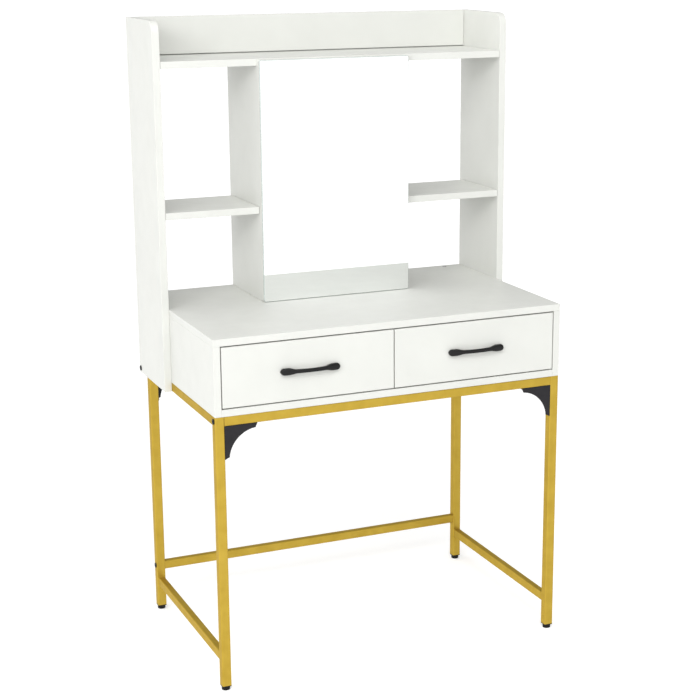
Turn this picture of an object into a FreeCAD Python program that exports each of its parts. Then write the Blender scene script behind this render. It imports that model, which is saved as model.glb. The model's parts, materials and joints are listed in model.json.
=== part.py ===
"""Vanity table: a two-drawer desk on a square-tube frame, with an open hutch and a mirror.

Millimetres. +Z is up, +X is to the right of someone sitting at the table, and -Y is the side
they sit on. The origin is on the floor, at the middle of the whole table's outline.
"""
import FreeCAD, Part
import math
import os
from FreeCAD import Vector

# ---- driving dimensions ------------------------------------------------------------------
DESK_W = 800.0            # width of the desk carcass and of the tube frame
DESK_D = 498.0            # depth of the desk carcass and of the tube frame
DESK_TOP = 767.5          # height of the writing surface
CARCASS_BOTTOM = 604.5    # underside of the desk carcass, on top of the rails
HUTCH_TOP = 1382.0        # top edge of the hutch sides
BOARD = 15.0              # melamine-faced board
EDGE = 0.8                # rounding of the boards' edges

TUBE = 20.0               # square tube of legs and rails
TUBE_WALL = 1.2
TUBE_ROUND = 2.0
STRETCHER_W = 15.0        # stretchers are 15 x 20 tube, 20 upright
STRETCHER_H = 20.0
SIDE_STRETCHER_TOP = 81.5
REAR_STRETCHER_TOP = 119.5
FOOT_H = 10.5             # floor to the cut end of the legs
FOOT_FLANGE = 2.0         # square flange of the glide, as wide as the tube
FOOT_R = 9.0
END_BLOCK = 14.0          # threaded block welded in each bolted tube end

HUTCH_SIDE = 16.0         # thickness of the hutch's outer sides
HUTCH_D = 198.0           # front to rear of the hutch sides
HUTCH_CORNER = 25.0       # rounded top front corner
SHELF_D = 183.0           # depth of the short shelves, up to the back rail's front face
RAIL_GROOVE_H = 2.4       # shadow groove along the foot of the back rail
RAIL_GROOVE_D = 8.0
BUTT_GAP = 0.6            # fitting gap at each end of the hutch's level boards
TOP_SHELF = 1298.0        # upper face of the top shelf
MID_SHELF = 978.5         # upper face of both short shelves
PARTITION_L = -187.0      # outer face of the left partition
PARTITION_R = 164.0       # outer face of the right partition
MIRROR_TOP = 1296.0
MIRROR_LIFT = 0.2         # clearance under the mirror
MIRROR_BOARD = 12.0
MIRROR_GLASS = 5.0
MIRROR_CORNER = 4.0
MIRROR_BEVEL = 1.0

FRONT_GAP = 2.3           # shadow gap at the outer ends of the drawer fronts
FRONT_GAP_HIGH = 2.7      # above and below them
FRONT_GAP_MID = 2.4       # between them
DRAWER_SIDE = 12.0
DRAWER_H = 100.0
DRAWER_LIFT = 13.0        # drawer box above the carcass floor
DRAWER_LEN = 400.0        # length of drawer box and of its slides
PANEL = 5.0               # hardboard drawer bottom and carcass back
GROOVE = 5.0              # how deep the drawer bottom sits in its grooves
GROOVE_UP = 6.0           # groove above the lower edge of the drawer sides

SLIDE_SPACE = 13.0        # between the carcass wall and the drawer side
SLIDE_STEEL = 1.2
SLIDE_END = 2.0           # slides start this far behind the drawer front

HANDLE_L = 131.0
HANDLE_REACH = 15.0       # how far the handle stands out from the front
HANDLE_END_H = 14.5
HANDLE_NECK_H = 8.2
HANDLE_WAIST = ((30.0, 4.4), (38.0, 5.5), (49.0, 7.1))   # from the middle, half height
HANDLE_NECK_T = 6.0
HANDLE_FOOT_L = 20.0
HANDLE_FOOT_T = 8.0
HANDLE_PITCH = 112.0      # between the two screws

BRACKET_LEG = 71.0
BRACKET_TIP = 9.5         # width left at the ends of the concave arc
BRACKET_SLANT = 4.0       # how far those ends lean back
BRACKET_MIDDLE = 28.0     # from either flange to the middle of the arc
BRACKET_STEEL = 2.0
BRACKET_FLANGE = 16.0
BRACKET_SCREW = 45.0      # screw's distance from the bracket's corner

BOLT_R = 3.0
BOLT_L = 32.0             # through the leg and 12 into the tube's end block
BOLT_HEAD_R = 6.0
BOLT_HEAD_H = 2.0
BOLT_RIM = 1.3            # rounding of the head, and depth of its hexagon socket
BOLT_HOLE_R = 3.2
SCREW_R = 2.0
SCREW_HOLE_R = 2.1
SCREW_HEAD_R = 4.0
SCREW_HEAD_H = 2.4

CAP_X = 352.0             # black caps of the two screws behind the hutch's shelves
CAP_FROM_REAR = 16.0
CAP_R = 4.8
CAP_H = 1.2

# ---- derived places ----------------------------------------------------------------------
HALF = DESK_W / 2
FRONT = -(DESK_D - HANDLE_REACH) / 2
REAR = FRONT + DESK_D
RAIL_BOTTOM = CARCASS_BOTTOM - TUBE
LEG_IN = HALF - TUBE
HUTCH_FRONT = REAR - HUTCH_D
SHELF_REAR = HUTCH_FRONT + SHELF_D
INNER_BOTTOM = CARCASS_BOTTOM + BOARD
INNER_TOP = DESK_TOP - BOARD
BACK_REAR = REAR - 3.0
BACK_FRONT = BACK_REAR - PANEL
FACE_REAR = FRONT + BOARD          # rear face of the drawer fronts
BAYS = {"left": (-HALF + BOARD, -BOARD / 2), "right": (BOARD / 2, HALF - BOARD)}
TUBE_MID = TUBE / 2


# ---- shapes ------------------------------------------------------------------------------
def block(x, y, z):
    """A box from three (low, high) pairs."""
    return Part.makeBox(x[1] - x[0], y[1] - y[0], z[1] - z[0], Vector(x[0], y[0], z[0]))


def edges_along(shape, axis):
    """The straight edges of a shape that run along one axis, 0 for X, 1 for Y and 2 for Z."""
    found = []
    for edge in shape.Edges:
        step = edge.Vertexes[-1].Point - edge.Vertexes[0].Point
        if step.Length > 0 and abs(abs(step[axis]) - step.Length) < 1e-6:
            found.append(edge)
    return found


def board(x, y, z):
    """A board with softly rounded edge banding."""
    shape = block(x, y, z)
    return shape.makeFillet(EDGE, shape.Edges)


def rod(radius, length, start, direction):
    return Part.makeCylinder(radius, length, Vector(*start), Vector(*direction))


def tube(x, y, z, axis, block_ends=0.0):
    """Rectangular tube along an axis. block_ends leaves both ends solid over that length."""
    outer = block(x, y, z)
    outer = outer.makeFillet(TUBE_ROUND, edges_along(outer, axis))
    spans = []
    for index, span in enumerate((x, y, z)):
        inset = block_ends if index == axis else TUBE_WALL
        spans.append((span[0] + inset, span[1] - inset))
    inner = block(*spans)
    inner = inner.makeFillet(TUBE_ROUND - TUBE_WALL, edges_along(inner, axis))
    return outer.cut(inner)


def group(shapes):
    return shapes[0] if len(shapes) == 1 else Part.makeCompound(shapes)


def bolt(face_x, y, z, length):
    """Button-head bolt driven in from the outside, at the left (-X) or right (+X) side."""
    out = math.copysign(1, face_x)
    head = rod(BOLT_HEAD_R, BOLT_HEAD_H, (face_x, y, z), (out, 0, 0))
    rim = [e for e in head.Edges if abs(e.CenterOfMass.x - face_x) > BOLT_HEAD_H - 0.01]
    head = head.makeFillet(BOLT_RIM, rim[:1])
    points = []
    for corner in range(7):
        turn = math.radians(60 * corner)
        across = (y + 2.3 * math.cos(turn), z + 2.3 * math.sin(turn))
        points.append(Vector(face_x + out * BOLT_HEAD_H, *across))
    socket = Part.Face(Part.makePolygon(points)).extrude(Vector(-BOLT_RIM * out, 0, 0))
    shank = rod(BOLT_R, length, (face_x, y, z), (-out, 0, 0))
    return head.cut(socket).fuse(shank)


def screw(face, direction, length):
    """Pan-head screw: its head stands on the point `face`, its shank runs along `direction`."""
    back = [-d for d in direction]
    head = rod(SCREW_HEAD_R, SCREW_HEAD_H, face, back)
    far = Vector(*face) + Vector(*back) * SCREW_HEAD_H
    rim = [e for e in head.Edges if (e.CenterOfMass - far).Length < 0.01]
    head = head.makeFillet(1.0, rim[:1])
    slit = block((-0.5, 0.5), (-2.2, 2.2), (-0.6, 1.5))
    cross = slit.fuse(block((-2.2, 2.2), (-0.5, 0.5), (-0.6, 1.5)))
    cross.Placement = FreeCAD.Placement(far, FreeCAD.Rotation(Vector(0, 0, 1), Vector(*back)))
    return head.cut(cross).fuse(rod(SCREW_R, length, face, direction))


# ---- tube frame --------------------------------------------------------------------------
def bracket_corners():
    """The four inner corners under the rails: side, end, and the middle of the tube there."""
    for side in (-1, 1):
        for end, mid_y in (("front", FRONT + TUBE_MID), ("rear", REAR - TUBE_MID)):
            yield side, end, mid_y


def leg(side, end):
    x = (-HALF, -LEG_IN) if side < 0 else (LEG_IN, HALF)
    y = (FRONT, FRONT + TUBE) if end == "front" else (REAR - TUBE, REAR)
    shape = tube(x, y, (FOOT_H, CARCASS_BOTTOM), 2)
    mid_y = sum(y) / 2
    heights = [RAIL_BOTTOM + TUBE_MID]
    if end == "rear":
        heights.append(REAR_STRETCHER_TOP - STRETCHER_H / 2)
    for z in heights:
        shape = shape.cut(rod(BOLT_HOLE_R, TUBE + 2, (x[0] - 1, mid_y, z), (1, 0, 0)))
    screw_start = (side * (LEG_IN - 1), mid_y, RAIL_BOTTOM - BRACKET_SCREW)
    return shape.cut(rod(SCREW_HOLE_R, 4, screw_start, (side, 0, 0)))


def cross_tube(y, z, threaded_at, bracket_y=None):
    """Tube between the left and right legs, bolted through them into its end blocks."""
    shape = tube((-LEG_IN, LEG_IN), y, z, 0, END_BLOCK)
    mid_z = sum(z) / 2
    for side in (-1, 1):
        start = (side * (LEG_IN + 1), threaded_at, mid_z)
        shape = shape.cut(rod(BOLT_R + 0.05, END_BLOCK + 2, start, (-side, 0, 0)))
        if bracket_y is not None:
            start = (side * (LEG_IN - BRACKET_SCREW), bracket_y, z[0] - 1)
            shape = shape.cut(rod(SCREW_HOLE_R, 4, start, (0, 0, 1)))
    return shape


def side_tube(side, width, z):
    """Tube welded between the front and rear legs of one side."""
    mid = side * (HALF - TUBE_MID)
    return tube((mid - width / 2, mid + width / 2), (FRONT + TUBE, REAR - TUBE), z, 1)


def bracket(side, end):
    """Corner gusset with a concave edge and two flanges, under the rail and against the leg."""
    reach = BRACKET_LEG
    corner = Vector(0, 0, 0)
    end_x = Vector(reach, 0, 0)
    end_z = Vector(0, 0, -reach)
    arc_x = Vector(reach - BRACKET_SLANT, 0, -BRACKET_TIP)
    arc_z = Vector(BRACKET_TIP, 0, BRACKET_SLANT - reach)
    outline = [
        Part.makeLine(corner, end_x),
        Part.makeLine(end_x, arc_x),
        Part.Arc(arc_x, Vector(BRACKET_MIDDLE, 0, -BRACKET_MIDDLE), arc_z).toShape(),
        Part.makeLine(arc_z, end_z),
        Part.makeLine(end_z, corner),
    ]
    web = Part.Face(Part.Wire(outline)).extrude(Vector(0, BRACKET_STEEL, 0))
    upper = block((0, reach), (0, BRACKET_FLANGE), (-BRACKET_STEEL, 0))
    lower = block((0, BRACKET_STEEL), (0, BRACKET_FLANGE), (-reach, 0))
    shape = web.fuse(upper).fuse(lower)
    drill_up = rod(SCREW_HOLE_R, 6, (BRACKET_SCREW, TUBE_MID, -4), (0, 0, 1))
    drill_in = rod(SCREW_HOLE_R, 6, (4, TUBE_MID, -BRACKET_SCREW), (-1, 0, 0))
    shape = shape.cut(drill_up).cut(drill_in).removeSplitter()
    if side > 0:
        shape = shape.mirror(Vector(0, 0, 0), Vector(1, 0, 0))
    if end == "rear":
        shape = shape.mirror(Vector(0, 0, 0), Vector(0, 1, 0))
    shape.translate(Vector(side * LEG_IN, FRONT if end == "front" else REAR, RAIL_BOTTOM))
    return shape


def bracket_screws():
    shapes = []
    for side, _, mid_y in bracket_corners():
        under = (side * (LEG_IN - BRACKET_SCREW), mid_y, RAIL_BOTTOM - BRACKET_STEEL)
        beside = (side * (LEG_IN - BRACKET_STEEL), mid_y, RAIL_BOTTOM - BRACKET_SCREW)
        shapes.append(screw(under, (0, 0, 1), 9.0))
        shapes.append(screw(beside, (side, 0, 0), 9.0))
    return group(shapes)


def foot(side, end):
    """Plastic glide: round pad, square flange, and a plug pressed into the leg's open end."""
    x = side * (HALF - TUBE_MID)
    y = FRONT + TUBE_MID if end == "front" else REAR - TUBE_MID
    pad = rod(FOOT_R, FOOT_H - FOOT_FLANGE, (x, y, 0), (0, 0, 1))
    pad = pad.makeFillet(1.2, [e for e in pad.Edges if e.CenterOfMass.z < 0.01 and e.Closed])
    shape = pad
    tiers = (
        (TUBE_MID, TUBE_ROUND, FOOT_H - FOOT_FLANGE, FOOT_H),
        (TUBE_MID - TUBE_WALL - 0.1, TUBE_ROUND - TUBE_WALL, FOOT_H, FOOT_H + 22.0),
    )
    for half, corner, low, high in tiers:
        tier = block((x - half, x + half), (y - half, y + half), (low, high))
        shape = shape.fuse(tier.makeFillet(corner, edges_along(tier, 2)))
    return shape.removeSplitter()


def frame_bolts():
    shapes = []
    for side in (-1, 1):
        shapes.append(bolt(side * HALF, FRONT + TUBE_MID, RAIL_BOTTOM + TUBE_MID, BOLT_L))
        low = REAR_STRETCHER_TOP - STRETCHER_H / 2
        shapes.append(bolt(side * HALF, REAR - TUBE_MID, low, BOLT_L))
    return group(shapes)


def hutch_bolts():
    """They pass through the hutch side and the rear leg into the rear rail."""
    face = HALF + HUTCH_SIDE
    length = HUTCH_SIDE + BOLT_L
    place = (REAR - TUBE_MID, RAIL_BOTTOM + TUBE_MID)
    return group([bolt(-face, *place, length), bolt(face, *place, length)])


def frame_nodes():
    nodes = {}
    rail_z = (RAIL_BOTTOM, CARCASS_BOTTOM)
    front_mid = FRONT + TUBE_MID
    rear_mid = REAR - TUBE_MID
    nodes["rail_front"] = cross_tube((FRONT, FRONT + TUBE), rail_z, front_mid, front_mid)
    nodes["rail_rear"] = cross_tube((REAR - TUBE, REAR), rail_z, rear_mid, rear_mid)
    low = rear_mid - STRETCHER_W / 2
    rear_z = (REAR_STRETCHER_TOP - STRETCHER_H, REAR_STRETCHER_TOP)
    nodes["stretcher_rear"] = cross_tube((low, low + STRETCHER_W), rear_z, rear_mid)
    side_z = (SIDE_STRETCHER_TOP - STRETCHER_H, SIDE_STRETCHER_TOP)
    for side, name in ((-1, "left"), (1, "right")):
        nodes["rail_" + name] = side_tube(side, TUBE, rail_z)
        nodes["stretcher_" + name] = side_tube(side, STRETCHER_W, side_z)
        for end in ("front", "rear"):
            nodes["leg_%s_%s" % (end, name)] = leg(side, end)
            nodes["foot_%s_%s" % (end, name)] = foot(side, end)
            nodes["bracket_%s_%s" % (end, name)] = bracket(side, end)
    nodes["bracket_screws"] = bracket_screws()
    nodes["frame_bolts"] = frame_bolts()
    nodes["hutch_bolts"] = hutch_bolts()
    return nodes


# ---- desk carcass ------------------------------------------------------------------------
def carcass_nodes():
    inner_x = (-HALF + BOARD, HALF - BOARD)
    nodes = {}
    nodes["desktop"] = board((-HALF, HALF), (FRONT, REAR), (INNER_TOP, DESK_TOP))
    nodes["carcass_bottom"] = board(inner_x, (FRONT, REAR), (CARCASS_BOTTOM, INNER_BOTTOM))
    side_z = (CARCASS_BOTTOM, INNER_TOP)
    nodes["carcass_side_left"] = board((-HALF, inner_x[0]), (FRONT, REAR), side_z)
    nodes["carcass_side_right"] = board((inner_x[1], HALF), (FRONT, REAR), side_z)
    divider_y = (FACE_REAR + SLIDE_END, BACK_FRONT)
    nodes["carcass_divider"] = board((-BOARD / 2, BOARD / 2), divider_y, (INNER_BOTTOM, INNER_TOP))
    nodes["carcass_back"] = block(inner_x, (BACK_FRONT, BACK_REAR), (INNER_BOTTOM, INNER_TOP))
    caps = []
    for side in (-1, 1):
        cap = rod(CAP_R, CAP_H, (side * CAP_X, REAR - CAP_FROM_REAR, DESK_TOP), (0, 0, 1))
        top_rim = [e for e in cap.Edges if e.Closed and e.CenterOfMass.z > DESK_TOP + CAP_H - 0.01]
        caps.append(cap.makeFillet(0.8, top_rim))
    nodes["desktop_screw_caps"] = group(caps)
    return nodes


# ---- hutch -------------------------------------------------------------------------------
def hutch_side(side):
    """Outer side that laps the desk, down to the lower edge of the side rail."""
    x = (-HALF - HUTCH_SIDE, -HALF) if side < 0 else (HALF, HALF + HUTCH_SIDE)
    shape = block(x, (HUTCH_FRONT, REAR), (RAIL_BOTTOM, HUTCH_TOP))
    corner = []
    for edge in edges_along(shape, 0):
        middle = edge.CenterOfMass
        if middle.z > HUTCH_TOP - 1 and middle.y < HUTCH_FRONT + 1:
            corner.append(edge)
    shape = shape.makeFillet(HUTCH_CORNER, corner)
    shape = shape.makeFillet(EDGE, shape.Edges)
    start = (x[0] - 1, REAR - TUBE_MID, RAIL_BOTTOM + TUBE_MID)
    return shape.cut(rod(BOLT_HOLE_R, HUTCH_SIDE + 2, start, (1, 0, 0)))


def mirror_panel(y, inset, corner):
    """Upright panel of the mirror's outline, drawn in by `inset` all round."""
    x = (PARTITION_L + inset, PARTITION_R - inset)
    z = (DESK_TOP + MIRROR_LIFT + inset, MIRROR_TOP - inset)
    shape = block(x, y, z)
    return shape.makeFillet(corner, edges_along(shape, 1))


def hutch_nodes():
    nodes = {}
    shelf_y = (HUTCH_FRONT, SHELF_REAR)
    nodes["hutch_side_left"] = hutch_side(-1)
    nodes["hutch_side_right"] = hutch_side(1)
    under = TOP_SHELF - BOARD
    full_y = (HUTCH_FRONT, REAR)
    full_x = (-HALF + BUTT_GAP, HALF - BUTT_GAP)
    nodes["hutch_top_shelf"] = board(full_x, full_y, (under, TOP_SHELF))
    rail = board(full_x, (SHELF_REAR, REAR), (TOP_SHELF, HUTCH_TOP))
    groove_y = (SHELF_REAR - 1, SHELF_REAR + RAIL_GROOVE_D)
    groove_z = (TOP_SHELF - 1, TOP_SHELF + RAIL_GROOVE_H)
    nodes["hutch_back_rail"] = rail.cut(block((-HALF, HALF), groove_y, groove_z))
    between_z = (DESK_TOP, under)
    nodes["partition_left"] = board((PARTITION_L, PARTITION_L + BOARD), full_y, between_z)
    nodes["partition_right"] = board((PARTITION_R - BOARD, PARTITION_R), full_y, between_z)
    mid_z = (MID_SHELF - BOARD, MID_SHELF)
    left_x = (-HALF + BUTT_GAP, PARTITION_L - BUTT_GAP)
    nodes["shelf_left"] = board(left_x, shelf_y, mid_z)
    right_x = (PARTITION_R + BUTT_GAP, HALF - BUTT_GAP)
    nodes["shelf_right"] = board(right_x, shelf_y, mid_z)
    backing_front = HUTCH_FRONT - MIRROR_BOARD
    nodes["mirror_backing_board"] = mirror_panel((backing_front, HUTCH_FRONT), 0.0, MIRROR_CORNER)
    glass = mirror_panel((backing_front - MIRROR_GLASS, backing_front), 0.4, MIRROR_CORNER)
    front_rim = [e for e in glass.Edges if abs(e.BoundBox.YMax - glass.BoundBox.YMin) < 1e-6]
    nodes["mirror_glass"] = glass.makeChamfer(MIRROR_BEVEL, front_rim)
    return nodes


# ---- drawers -----------------------------------------------------------------------------
def handle_shape(centre_x, centre_z):
    """Arched bar handle: wide feet on the drawer front, narrower and bowed in between."""
    half = HANDLE_L / 2
    foot_in = half - HANDLE_FOOT_L
    bow = HANDLE_REACH - HANDLE_NECK_T
    past = half + 4.0
    front_at = HANDLE_REACH - (HANDLE_REACH - HANDLE_FOOT_T) * (past / half) ** 2
    corner_l, corner_r = Vector(-past, 0, 0), Vector(past, 0, 0)
    end_l, end_r = Vector(-past, -front_at, 0), Vector(past, -front_at, 0)
    plan = [
        Part.makeLine(corner_l, end_l),
        Part.Arc(end_l, Vector(0, -HANDLE_REACH, 0), end_r).toShape(),
        Part.makeLine(end_r, corner_r),
        Part.makeLine(corner_r, Vector(foot_in, 0, 0)),
        Part.Arc(Vector(foot_in, 0, 0), Vector(0, -bow, 0), Vector(-foot_in, 0, 0)).toShape(),
        Part.makeLine(Vector(-foot_in, 0, 0), corner_l),
    ]
    high = HANDLE_END_H / 2
    end_at = half - high
    waist = [*HANDLE_WAIST, (end_at, high)]
    elevation = []
    for sign in (1, -1):
        upper = [Vector(sign * x, 0, sign * z) for x, z in waist]
        under = [Vector(sign * x, 0, -sign * z) for x, z in reversed(waist)]
        start = Vector(-upper[0].x, 0, upper[0].z)
        neck = Vector(0, 0, sign * HANDLE_NECK_H / 2)
        elevation.append(Part.Arc(start, neck, upper[0]).toShape())
        elevation.append(Part.Arc(upper[-1], Vector(sign * half, 0, 0), under[0]).toShape())
        for run in (upper, under):
            elevation += [Part.makeLine(a, b) for a, b in zip(run, run[1:])]
    bar = Part.Face(Part.Wire(plan)).extrude(Vector(0, 0, HANDLE_END_H + 4))
    bar.translate(Vector(0, 0, -high - 2))
    cut_to = Part.Face(Part.Wire(Part.sortEdges(elevation)[0])).extrude(Vector(0, HANDLE_REACH + 4, 0))
    cut_to.translate(Vector(0, -HANDLE_REACH - 2, 0))
    shape = bar.common(cut_to)
    for sign in (-1, 1):
        bore = rod(SCREW_R + 0.05, 6.0, (sign * HANDLE_PITCH / 2, 0, 0), (0, -1, 0))
        shape = shape.cut(bore)
    shape.translate(Vector(centre_x, FRONT, centre_z))
    return shape


def slide_member(wall, inward, lip_span, half_height, web_span):
    """One channel of a ball slide. Spans are distances from the carcass wall, drawerwards."""
    y = (FACE_REAR + SLIDE_END, FACE_REAR + DRAWER_LEN)
    z = INNER_BOTTOM + DRAWER_LIFT + DRAWER_H / 2

    def place(span):
        ends = sorted((wall + inward * span[0], wall + inward * span[1]))
        return (ends[0], ends[1])

    web = block(place(web_span), y, (z - half_height, z + half_height))
    top = block(place(lip_span), y, (z + half_height - SLIDE_STEEL, z + half_height))
    low = block(place(lip_span), y, (z - half_height, z - half_height + SLIDE_STEEL))
    return web.fuse(top).fuse(low).removeSplitter()


def slide_pairs(bay):
    """The fixed, middle and inner channels of the slides on both walls of a bay."""
    steel = SLIDE_STEEL
    layout = {
        "fixed": ((0, 11), 22.0, (0, steel)),
        "middle": ((3.2, 10.2), 18.5, (3.2, 3.2 + steel)),
        "inner": ((6.4, SLIDE_SPACE), 13.0, (SLIDE_SPACE - steel, SLIDE_SPACE)),
    }
    pairs = {}
    for name, spans in layout.items():
        left = slide_member(bay[0], 1, *spans)
        pairs[name] = group([left, slide_member(bay[1], -1, *spans)])
    return pairs


def drawer_front(bay, name):
    """Returns the front's X span."""
    if name == "left":
        return (bay[0] + FRONT_GAP, -FRONT_GAP_MID / 2)
    return (FRONT_GAP_MID / 2, bay[1] - FRONT_GAP)


def drawer_nodes(name):
    bay = BAYS[name]
    face_x = drawer_front(bay, name)
    face_z = (INNER_BOTTOM + FRONT_GAP_HIGH, INNER_TOP - FRONT_GAP_HIGH)
    box_x = (bay[0] + SLIDE_SPACE, bay[1] - SLIDE_SPACE)
    inner_x = (box_x[0] + DRAWER_SIDE, box_x[1] - DRAWER_SIDE)
    box_y = (FACE_REAR, FACE_REAR + DRAWER_LEN)
    back_y = (box_y[1] - DRAWER_SIDE, box_y[1])
    low = INNER_BOTTOM + DRAWER_LIFT
    box_z = (low, low + DRAWER_H)
    groove_x = (inner_x[0] - GROOVE, inner_x[1] + GROOVE)
    groove_y = (box_y[0] - GROOVE, back_y[0] + GROOVE)
    floor = block(groove_x, groove_y, (low + GROOVE_UP, low + GROOVE_UP + PANEL))
    centre_x = sum(face_x) / 2
    centre_z = sum(face_z) / 2
    face = board(face_x, (FRONT, FACE_REAR), face_z).cut(floor)
    screws = []
    for sign in (-1, 1):
        x = centre_x + sign * HANDLE_PITCH / 2
        face = face.cut(rod(SCREW_HOLE_R, BOARD + 2, (x, FRONT - 1, centre_z), (0, 1, 0)))
        screws.append(screw((x, FACE_REAR, centre_z), (0, -1, 0), BOARD + 5.0))
    prefix = "drawer_" + name + "_"
    nodes = {}
    nodes[prefix + "front"] = face
    nodes[prefix + "side_l"] = block((box_x[0], inner_x[0]), box_y, box_z).cut(floor)
    nodes[prefix + "side_r"] = block((inner_x[1], box_x[1]), box_y, box_z).cut(floor)
    nodes[prefix + "back"] = block(inner_x, back_y, box_z).cut(floor)
    nodes[prefix + "bottom"] = floor
    nodes[prefix + "handle"] = handle_shape(centre_x, centre_z)
    nodes[prefix + "handle_screws"] = group(screws)
    for member, shape in slide_pairs(bay).items():
        nodes["slide_%s_%s" % (name, member)] = shape
    return nodes


def main():
    os.makedirs("parts", exist_ok=True)
    nodes = {}
    nodes.update(frame_nodes())
    nodes.update(carcass_nodes())
    nodes.update(hutch_nodes())
    for name in BAYS:
        nodes.update(drawer_nodes(name))
    for name, shape in nodes.items():
        assert shape.isValid(), name
        shape.exportStep("parts/%s.step" % name)
    print(len(nodes), "nodes")


main()
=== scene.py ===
"""Looks of the vanity table: finishes for the CAD nodes, the detailed pieces, the room and the camera.

Metres, in the CAD frame. Lengths named in the code are millimetres and are turned to metres by
piece(). -Y is the side where someone sits.
"""
import json
import math
import bpy
import numpy as np
from mathutils import Matrix, Vector


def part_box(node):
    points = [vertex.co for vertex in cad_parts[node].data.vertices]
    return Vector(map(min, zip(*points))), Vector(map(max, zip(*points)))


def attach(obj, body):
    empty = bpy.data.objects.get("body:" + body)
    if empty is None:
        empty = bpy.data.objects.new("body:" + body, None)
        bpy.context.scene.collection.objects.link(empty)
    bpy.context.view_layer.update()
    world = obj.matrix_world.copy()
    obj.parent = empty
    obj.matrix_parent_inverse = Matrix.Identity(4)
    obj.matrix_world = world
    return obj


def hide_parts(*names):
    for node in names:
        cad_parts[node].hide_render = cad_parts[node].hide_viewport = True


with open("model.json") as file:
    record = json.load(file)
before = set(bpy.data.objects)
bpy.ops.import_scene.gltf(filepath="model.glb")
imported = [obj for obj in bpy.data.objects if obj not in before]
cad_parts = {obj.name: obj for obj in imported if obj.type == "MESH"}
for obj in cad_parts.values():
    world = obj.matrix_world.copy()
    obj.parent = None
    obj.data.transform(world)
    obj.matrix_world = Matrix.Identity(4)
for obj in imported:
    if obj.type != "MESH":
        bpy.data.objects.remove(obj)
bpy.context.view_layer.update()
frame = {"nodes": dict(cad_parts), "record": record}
NODES = frame["nodes"]
MM = 0.001
SHARP_ANGLE = math.radians(40)    # edges sharper than this are shaded as edges


def span(node):
    """The lowest and highest corner of a CAD node, as two arrays in millimetres."""
    low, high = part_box(node)
    return np.array(low) / MM, np.array(high) / MM


# ---- shader helpers ----------------------------------------------------------------------
def linear(code):
    """An sRGB colour such as 'f2f2ee', as linear RGBA."""
    parts = [int(code[i:i + 2], 16) / 255 for i in (0, 2, 4)]
    return [p / 12.92 if p <= 0.04045 else ((p + 0.055) / 1.055) ** 2.4 for p in parts] + [1.0]


def add(tree, kind, inputs=None, **settings):
    """Adds a shader node with its settings; an input is a number, a colour or an output to link."""
    made = tree.nodes.new("ShaderNode" + kind)
    for name, value in settings.items():
        setattr(made, name, value)
    for socket, value in (inputs or {}).items():
        if isinstance(value, bpy.types.NodeSocket):
            tree.links.new(value, made.inputs[socket])
        else:
            made.inputs[socket].default_value = value
    return made


def per_mm(size):
    """The scale that gives a pattern on Object coordinates features of about `size` millimetres."""
    return 1.0 / (size * MM)


def finish(name, light, dark, patch, rough, rough_patch, grain, relief, stretch=(1, 1, 1), **constants):
    """A solid coat of one colour that is never quite even.

    light, dark: the two tones, mixed by soft noise with features of `patch` mm.
    rough: lowest and highest roughness, mixed by noise with features of `rough_patch` mm.
    grain, relief: size in mm and height in mm of the fine texture of the surface.
    stretch: how the patterns are drawn out along each axis, 1 for not at all.
    constants: values that are the same all over, by socket name with _ for a space.
    """
    material = bpy.data.materials.new(name)
    material.use_nodes = True
    tree = material.node_tree
    tree.nodes.clear()
    place = add(tree, "TexCoord").outputs["Object"]
    place = add(tree, "Mapping", {"Vector": place, "Scale": stretch}).outputs[0]
    tone = add(tree, "TexNoise", {"Vector": place, "Scale": per_mm(patch), "Detail": 3.0})
    tone = add(tree, "MapRange", {"Value": tone.outputs[0], "From Min": 0.3, "From Max": 0.7})
    colour = add(tree, "Mix", {0: tone.outputs[0], 6: linear(light), 7: linear(dark)}, data_type="RGBA")
    wear = add(tree, "TexNoise", {"Vector": place, "Scale": per_mm(rough_patch), "Detail": 2.0})
    wear = add(tree, "MapRange", {
        "Value": wear.outputs[0], "From Min": 0.3, "From Max": 0.7,
        "To Min": rough[0], "To Max": rough[1]})
    fine = add(tree, "TexNoise", {"Vector": place, "Scale": per_mm(grain), "Detail": 2.0})
    bump = add(tree, "Bump", {"Height": fine.outputs[0], "Distance": relief * MM, "Strength": 1.0})
    inputs = {
        "Base Color": colour.outputs[2],
        "Roughness": wear.outputs[0],
        "Normal": bump.outputs[0],
    }
    for socket, value in constants.items():
        inputs[socket.replace("_", " ")] = value
    shader = add(tree, "BsdfPrincipled", inputs)
    add(tree, "OutputMaterial", {"Surface": shader.outputs[0]})
    return material


# ---- finishes ----------------------------------------------------------------------------
# Melamine-faced particleboard: resin-soaked paper pressed on a satin plate. The eye sees an even
# warm white with a soft sheen. Its pearl of 0.4 mm is drawn at 1.4 mm so that it shows.
melamine = finish("white_melamine_pressed_satin", "cfd0cb", "cbccc7", 90, (0.36, 0.44), 30,
                  1.4, 0.03, IOR=1.55)
# Drawer boxes: fibreboard wrapped in smooth white foil, a little greyer and more matt.
foil = finish("white_foil_wrapped_fibreboard", "cccdc8", "c7c8c3", 60, (0.46, 0.54), 25,
              2.0, 0.02, IOR=1.5)
# Hardboard with a sprayed white lacquer: flat, with the screen texture of the pressed sheet.
hardboard = finish("white_lacquered_hardboard", "c9c8c2", "c6c5bf", 45, (0.6, 0.72), 18,
                   1.8, 0.08, IOR=1.5)
# Steel tube with a metallic gold powder coat: satin, with orange peel of about 1.5 mm and faint
# clouds where the flakes lie differently.
gold = finish("gold_powder_coat_on_steel", "bb9e40", "b09338", 35, (0.34, 0.44), 14,
              1.5, 0.02, Metallic=0.72, Specular_IOR_Level=0.25, Specular_Tint=(0.72, 0.62, 0.4, 1))
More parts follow.
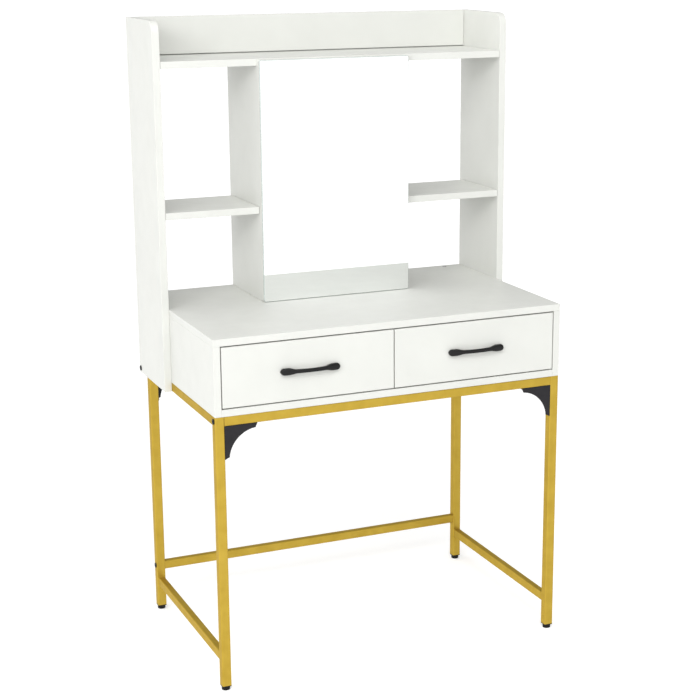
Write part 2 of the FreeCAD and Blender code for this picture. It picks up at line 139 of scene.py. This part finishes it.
# Pressed steel with a black powder coat: dark charcoal that lights up softly towards the edges.
black_coat = finish("black_powder_coat_on_steel", "1c1a1e", "161518", 20, (0.42, 0.55), 9,
                    1.0, 0.03, IOR=1.5, Specular_IOR_Level=0.28)
# Bolts with black zinc: a dull dark metal.
black_zinc = finish("black_zinc_on_steel", "17171a", "101012", 4, (0.35, 0.5), 3,
                    0.6, 0.01, Metallic=0.85)
# Glides: moulded black nylon with a fine spark-eroded grain.
nylon = finish("black_nylon_moulded", "0a0a09", "070706", 12, (0.5, 0.6), 5,
               0.8, 0.03, IOR=1.53, Specular_IOR_Level=0.2)
# Screw caps: moulded grey polythene, dull and slightly waxy.
grey_cap = finish("grey_polythene_moulded", "9b9b9c", "909091", 8, (0.45, 0.55), 4,
                  0.8, 0.02, IOR=1.51)
# Pulls: zinc casting with a matt black stoved paint, smooth to the hand.
black_paint = finish("matt_black_paint_on_zinc_casting", "131313", "0f0f0f", 15, (0.36, 0.46), 8,
                     1.0, 0.012, IOR=1.5, Specular_IOR_Level=0.24)
# Screws: bright zinc plate.
zinc = finish("bright_zinc_on_steel", "c9cbcc", "b4b7ba", 4, (0.25, 0.38), 3,
              0.7, 0.008, Metallic=1.0)
# Ball slides: cold-rolled strip with zinc plate, so its streaks run along the travel.
rolled = finish("rolled_zinc_plated_strip", "c3c6c8", "aeb2b5", 3, (0.24, 0.36), 2,
                0.8, 0.006, stretch=(1, 0.05, 1), Metallic=1.0)
# Mirror: silvered float glass, so flat and smooth that only a faint green-grey tint shows.
silver = finish("silvered_float_glass", "f9fbfa", "f8faf9", 300, (0.0, 0.004), 200,
                50, 0.0, Metallic=1.0)
# The mirror's edge and bevel: the cool green-grey of glass, made duller and darker than the silvered
# face as a painted dark reflection, the line that a bevel's reflection shows.
edge_with_painted_reflection = finish("glass_edge_painted_dark_reflection", "b9c0bd", "afb7b4", 20, (0.2, 0.3), 6,
                    2.0, 0.01, IOR=1.52)
# Studio floor: plain matt white paint.
floor_paint = finish("matt_white_studio_floor", "e8e8e8", "e6e6e6", 900, (0.8, 0.9), 300,
                     4.0, 0.02, IOR=1.45, Emission_Color=(1, 1, 1, 1))

SLOT_FINISH = {
    "white_board": melamine,
    "hardboard": hardboard,
    "gold_frame": gold,
    "black_steel": black_coat,
    "black_bolts": black_zinc,
    "black_plastic": nylon,
    "black_handles": black_paint,
    "zinc_screws": zinc,
    "slide_steel": rolled,
    # the mirror slot gets the edge's grey with its painted dark reflection
    "mirror_glass": edge_with_painted_reflection,
}


def dress_nodes():
    """Gives every CAD node the finish of its slot, the drawer boxes their foil and the caps grey."""
    for part in frame["record"]["subparts"]:
        name = part["node"]
        coat = SLOT_FINISH[part["material_slot"]]
        if name.endswith(("_side_l", "_side_r")) or name in ("drawer_left_back", "drawer_right_back"):
            coat = foil
        if name == "desktop_screw_caps":
            coat = grey_cap
        for index in range(len(NODES[name].material_slots)):
            NODES[name].material_slots[index].material = coat


# ---- surfaces ----------------------------------------------------------------------------
def skin(rings, loop=False):
    """Points and faces over closed rings of points, an array of (rings, points, 3).

    Each ring closes on itself. With loop the last ring joins the first, as on a torus, and
    otherwise a fan to its middle closes each end.
    """
    count, around = rings.shape[:2]
    index = np.arange(count * around).reshape(count, around)
    ahead = np.roll(index, -1, axis=1)
    if loop:
        low, high = index, np.roll(index, -1, axis=0)
        low_next, high_next = ahead, np.roll(ahead, -1, axis=0)
    else:
        low, high, low_next, high_next = index[:-1], index[1:], ahead[:-1], ahead[1:]
    faces = np.stack([low, low_next, high_next, high], axis=-1).reshape(-1, 4).tolist()
    points = rings.reshape(-1, 3)
    if not loop:
        tips = np.array([rings[0].mean(axis=0), rings[-1].mean(axis=0)])
        first, last = len(points), len(points) + 1
        points = np.vstack([points, tips])
        faces += np.stack([ahead[0], index[0], np.full(around, first)], axis=-1).tolist()
        faces += np.stack([index[-1], ahead[-1], np.full(around, last)], axis=-1).tolist()
    return points, faces


def outward(points, faces):
    """The faces, turned over if the signed volume of their tetrahedra to the middle is negative."""
    around = points - points.mean(axis=0)
    fans = np.array([(f[0], f[i], f[i + 1]) for f in faces for i in range(1, len(f) - 1)])
    volume = np.einsum("ij,ij->", around[fans[:, 0]], np.cross(around[fans[:, 1]], around[fans[:, 2]]))
    return [f[::-1] for f in faces] if volume < 0 else faces


def piece(name, skins, coat, body, replaced=()):
    """One object from closed skins in millimetres, riding on a body."""
    points, faces = [], []
    start = 0
    for some_points, some_faces in skins:
        points.append(some_points)
        faces += [[i + start for i in face] for face in outward(some_points, some_faces)]
        start += len(some_points)
    mesh = bpy.data.meshes.new(name)
    mesh.from_pydata((np.vstack(points) * MM).tolist(), [], faces)
    mesh.update()
    mesh.polygons.foreach_set("use_smooth", [True] * len(mesh.polygons))
    mesh.set_sharp_from_angle(angle=SHARP_ANGLE)
    mesh.materials.append(coat)
    made = bpy.data.objects.new(name, mesh)
    bpy.context.scene.collection.objects.link(made)
    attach(made, body)
    if replaced:
        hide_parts(*replaced)


def smooth_step(t):
    """0 below 0, 1 above 1, and 3t^2 - 2t^3 in between."""
    t = np.clip(t, 0, 1)
    return t * t * (3 - 2 * t)


def rounded_outline(x, z, radius, steps=10):
    """Points round a rectangle with quarter circles of `radius` at its corners, as (n, 2)."""
    turn = np.linspace(0, math.pi / 2, steps)
    corners = []
    for start, cx, cz in ((0, x[1], z[1]), (1, x[0], z[1]), (2, x[0], z[0]), (3, x[1], z[0])):
        angle = turn + start * math.pi / 2
        centre = np.array([cx, cz]) - radius * np.sign([cx - sum(x) / 2, cz - sum(z) / 2])
        corners.append(centre + radius * np.stack([np.cos(angle), np.sin(angle)], axis=-1))
    return np.vstack(corners)


# ---- drawer pulls ------------------------------------------------------------------------
PULL_REACH = 15.0         # how far the bow stands out
PULL_FOOT = 8.0           # thickness of the feet at their ends
PULL_THICK = 6.0          # thickness of the bow
PULL_FOOT_L = 20.0
PULL_HIGH = 14.5          # height of the feet
PULL_NECK = 8.2           # height of the bow's middle
PULL_NECK_END = 30.0      # from the middle to where the bow starts to widen
PULL_WIDEN = 20.0         # length over which it widens
PULL_END_ROUND = 2.0      # rounding of the front at both ends
PULL_POWER = 3.6          # power of the superellipse of each section


def pull(name):
    """Bone-shaped bow pull.

    Across x, measured from the middle: the front is reach - (reach - foot) (x / half)^2, the
    back is a parabola inside the feet and flat on them, and the half height steps smoothly from
    neck to foot and ends in a half circle. Each section is a superellipse.
    """
    low, high = span("drawer_%s_handle" % name)
    middle = (low + high) / 2
    half = (high[0] - low[0]) / 2
    end_at = half - PULL_HIGH / 2
    x = -half * np.cos(np.linspace(0.02, math.pi - 0.02, 120))
    far = np.abs(x)
    widened = smooth_step((far - PULL_NECK_END) / PULL_WIDEN)
    tall = PULL_NECK / 2 + (PULL_HIGH - PULL_NECK) / 2 * widened
    past = np.clip(far - end_at, 0, PULL_HIGH / 2)
    tall = np.minimum(tall, np.sqrt((PULL_HIGH / 2) ** 2 - past ** 2))
    front = PULL_REACH - (PULL_REACH - PULL_FOOT) * (far / half) ** 2
    rim = np.clip((far - (half - PULL_END_ROUND)) / PULL_END_ROUND, 0, 1)
    front = front - PULL_END_ROUND * (1 - np.sqrt(1 - rim ** 2))
    inner = half - PULL_FOOT_L
    back = (PULL_REACH - PULL_THICK) * np.clip(1 - (far / inner) ** 2, 0, None)
    turn = np.linspace(0, 2 * math.pi, 48, endpoint=False)
    power = 2 / PULL_POWER
    across = np.sign(np.cos(turn)) * np.abs(np.cos(turn)) ** power
    up = np.sign(np.sin(turn)) * np.abs(np.sin(turn)) ** power
    depth = ((front + back) / 2)[:, None] + ((front - back) / 2)[:, None] * across
    rings = np.stack([
        middle[0] + np.repeat(x[:, None], len(turn), axis=1),
        high[1] - depth,
        middle[2] + tall[:, None] * up,
    ], axis=-1)
    piece("drawer_%s_pull" % name, [skin(rings)], black_paint, "drawer_" + name,
          ["drawer_%s_handle" % name])


# ---- mirror ------------------------------------------------------------------------------
BEVEL = 1.2               # bevel round the glass, coloured with the painted dark reflection
GLASS_CORNER = 4.0
SILVER_SHORT = 0.2        # how far the silvered plate ends before the back of the glass
RIM_LAP = 0.5             # how far the edge's ring reaches inside the bevel
RIM_BACK = 0.3            # how far its inner side stays behind the face


def mirror():
    """Silvered face and edge, the edge grey with a painted dark reflection: the glass outline carried
    from front to back.
    """
    low, high = span("mirror_glass")

    def ring(inset, y):
        outline = rounded_outline((low[0] + inset, high[0] - inset), (low[2] + inset, high[2] - inset),
                                  GLASS_CORNER - inset)
        return np.stack([outline[:, 0], np.full(len(outline), y), outline[:, 1]], axis=-1)

    plate = np.stack([ring(BEVEL, low[1]), ring(BEVEL, high[1] - SILVER_SHORT)])
    piece("mirror_silvered_face", [skin(plate)], silver, "table", ["mirror_glass"])
    rim = np.stack([ring(BEVEL, low[1]), ring(0, low[1] + BEVEL), ring(0, high[1]),
                    ring(BEVEL + RIM_LAP, high[1]), ring(BEVEL + RIM_LAP, low[1] + RIM_BACK)])
    # the edge ring is drawn darker than the face: a painted dark reflection of the bevel
    piece("mirror_polished_edge", [skin(rim, loop=True)], edge_with_painted_reflection, "table")


# ---- welds -------------------------------------------------------------------------------
BEAD_RADIUS = 1.3
BEAD_RIPPLE = 1.6         # length of one ripple
BEAD_SWELL = 0.08         # how much each ripple swells, as a share of the radius
TUBE_CORNER = 2.0         # outside corner of the tubes that the beads run round
BEAD_END = 2.5            # how far a straight bead stops before the tube's corner
STRAIGHT_STEPS = 60


def bead(path, radius, closed):
    """A weld bead along a path of points.

    Circles of radius (1 + swell sin(2 pi run / ripple)) stand square to the path, and an open
    bead narrows to its ends.
    """
    if closed:
        ahead = np.roll(path, -1, axis=0) - np.roll(path, 1, axis=0)
    else:
        ahead = np.gradient(path, axis=0)
    ahead /= np.linalg.norm(ahead, axis=1)[:, None]
    side = np.array([0.0, 1.0, 0.0])
    other = np.cross(ahead, side)
    run = np.cumsum(np.linalg.norm(np.diff(path, axis=0, prepend=path[:1]), axis=1))
    wide = radius * (1 + BEAD_SWELL * np.sin(2 * math.pi * run / BEAD_RIPPLE))
    if not closed:
        wide = wide * np.sqrt(np.clip(1 - np.abs(np.linspace(-1, 1, len(path))) ** 8, 0.02, 1))
    turn = np.linspace(0, 2 * math.pi, 10, endpoint=False)
    rings = path[:, None, :] + wide[:, None, None] * (
        np.cos(turn)[None, :, None] * side + np.sin(turn)[None, :, None] * other[:, None, :])
    return skin(rings, loop=closed)


def welds():
    """Beads where the side stretchers and side rails meet the legs."""
    skins = []
    for side in ("left", "right"):
        low, high = span("stretcher_" + side)
        for y in (low[1], high[1]):
            outline = rounded_outline((low[0], high[0]), (low[2], high[2]), TUBE_CORNER, 8)
            dense = np.linspace(0, len(outline), 220, endpoint=False)
            wrapped = np.vstack([outline, outline[:1]])
            steps = np.arange(len(wrapped))
            x = np.interp(dense, steps, wrapped[:, 0])
            z = np.interp(dense, steps, wrapped[:, 1])
            skins.append(bead(np.stack([x, np.full(len(x), y), z], axis=-1), BEAD_RADIUS, True))
        low, high = span("rail_" + side)
        for y in (low[1], high[1]):
            x = np.linspace(low[0] + BEAD_END, high[0] - BEAD_END, STRAIGHT_STEPS)
            line = np.stack([x, np.full(len(x), y), np.full(len(x), low[2])], axis=-1)
            skins.append(bead(line, BEAD_RADIUS, False))
    piece("frame_weld_beads", skins, gold, "table")


# ---- room --------------------------------------------------------------------------------
FLOOR_HALF = 100.0                     # metres from the middle to the floor's edges
GLOW_FROM, GLOW_TO = 2.5, 6.0          # metres from the table between which the glow rises
GLOW_NEAR, GLOW_FAR = 0.33, 0.5        # strength of the glow before and past them
SKY_TILT = (-0.66, -0.12, 0.0)         # the surroundings brighten this way
SKY_LEVEL = 0.862                      # and have this strength square to it
AIM = (0, 0, 0.9)                      # where the lamps point
LAMPS = {                              # place in metres, size in metres, power in watts
    "key_softbox": ((-3.4, -2.6, 2.6), 1.0, 41),
    "front_softbox": ((-0.5, -3.2, 4.0), 2.0, 79),
    "low_softbox": ((-2.4, -3.8, 2.1), 2.0, 37),
}


def stage_floor():
    """A flat floor, as wide as any view of the table needs.

    It glows a little, more so far away, so that it looks white. Matt surfaces get none of that
    glow.
    """
    tree = floor_paint.node_tree
    place = add(tree, "TexCoord").outputs["Object"]
    away = add(tree, "VectorMath", {0: place}, operation="LENGTH")
    glow = add(tree, "MapRange", {
        "Value": away.outputs["Value"], "From Min": GLOW_FROM, "From Max": GLOW_TO,
        "To Min": GLOW_NEAR, "To Max": GLOW_FAR})
    thrown = add(tree, "LightPath").outputs["Is Diffuse Ray"]
    seen = add(tree, "Math", {0: 1.0, 1: thrown}, operation="SUBTRACT")
    glow = add(tree, "Math", {0: glow.outputs[0], 1: seen.outputs[0]}, operation="MULTIPLY")
    tree.links.new(glow.outputs[0], tree.nodes["Principled BSDF"].inputs["Emission Strength"])
    corners = [(-1, -1, 0), (1, -1, 0), (1, 1, 0), (-1, 1, 0)]
    mesh = bpy.data.meshes.new("studio_floor")
    mesh.from_pydata((np.array(corners) * FLOOR_HALF).tolist(), [], [(0, 1, 2, 3)])
    mesh.materials.append(floor_paint)
    floor = bpy.data.objects.new("studio_floor", mesh)
    bpy.context.scene.collection.objects.link(floor)


def softbox(name, place, size, power):
    """A square area light at a place, turned towards the middle of the table."""
    lamp = bpy.data.lights.new(name, "AREA")
    lamp.shape = "SQUARE"
    lamp.size = size
    lamp.energy = power
    holder = bpy.data.objects.new(name, lamp)
    holder.location = place
    holder.rotation_euler = (Vector(AIM) - Vector(place)).to_track_quat("-Z", "Y").to_euler()
    bpy.context.scene.collection.objects.link(holder)


def light_room():
    """White surroundings, brighter towards the left, one small softbox and two broad ones.

    The camera sees the surroundings plain white.
    """
    world = bpy.data.worlds.new("white_studio")
    world.use_nodes = True
    tree = world.node_tree
    tree.nodes.clear()
    heading = add(tree, "TexCoord").outputs["Generated"]
    tilt = add(tree, "VectorMath", {0: heading, 1: SKY_TILT}, operation="DOT_PRODUCT")
    glow = add(tree, "Math", {0: tilt.outputs["Value"], 1: SKY_LEVEL}, operation="ADD")
    direct = add(tree, "LightPath").outputs["Is Camera Ray"]
    glow = add(tree, "Mix", {0: direct, 2: glow.outputs[0], 3: 1.0}, data_type="FLOAT")
    sky = add(tree, "Background", {"Color": (1, 1, 1, 1), "Strength": glow.outputs[0]})
    add(tree, "OutputWorld", {"Surface": sky.outputs[0]})
    bpy.context.scene.world = world
    for name, (place, size, power) in LAMPS.items():
        softbox(name, place, size, power)
    bpy.context.scene.view_settings.view_transform = "Standard"


AZIMUTH = math.radians(24.369)
ELEVATION = math.radians(-14.521)
ROLL = math.radians(-0.058)
STAND = (-1.3810, -3.3019, 1.5582)     # the camera's place in metres
LENS = 84.374                          # focal length in millimetres
SENSOR = 36.0                          # width of the sensor in millimetres
SHIFT_X = -0.0667
SHIFT_Y = 0.0110
SIGHT = 300.0                          # metres that the camera sees


def set_camera():
    """Camera at standing height, left of the middle, looking down a little."""
    flat = math.cos(ELEVATION)
    look = Vector((math.sin(AZIMUTH) * flat, math.cos(AZIMUTH) * flat, math.sin(ELEVATION)))
    right = look.cross(Vector((0, 0, 1))).normalized()
    up = right.cross(look)
    right, up = (math.cos(ROLL) * right + math.sin(ROLL) * up,
                 math.cos(ROLL) * up - math.sin(ROLL) * right)
    data = bpy.data.cameras.new("camera")
    data.lens = LENS
    data.sensor_width = SENSOR
    data.shift_x = SHIFT_X
    data.shift_y = SHIFT_Y
    data.clip_end = SIGHT
    camera = bpy.data.objects.new("camera", data)
    turn = Matrix((right, up, -look)).transposed()
    camera.matrix_world = Matrix.Translation(STAND) @ turn.to_4x4()
    bpy.context.scene.collection.objects.link(camera)
    bpy.context.scene.camera = camera


set_camera()
light_room()
stage_floor()
dress_nodes()
mirror()
welds()
for side_name in ("left", "right"):
    pull(side_name)
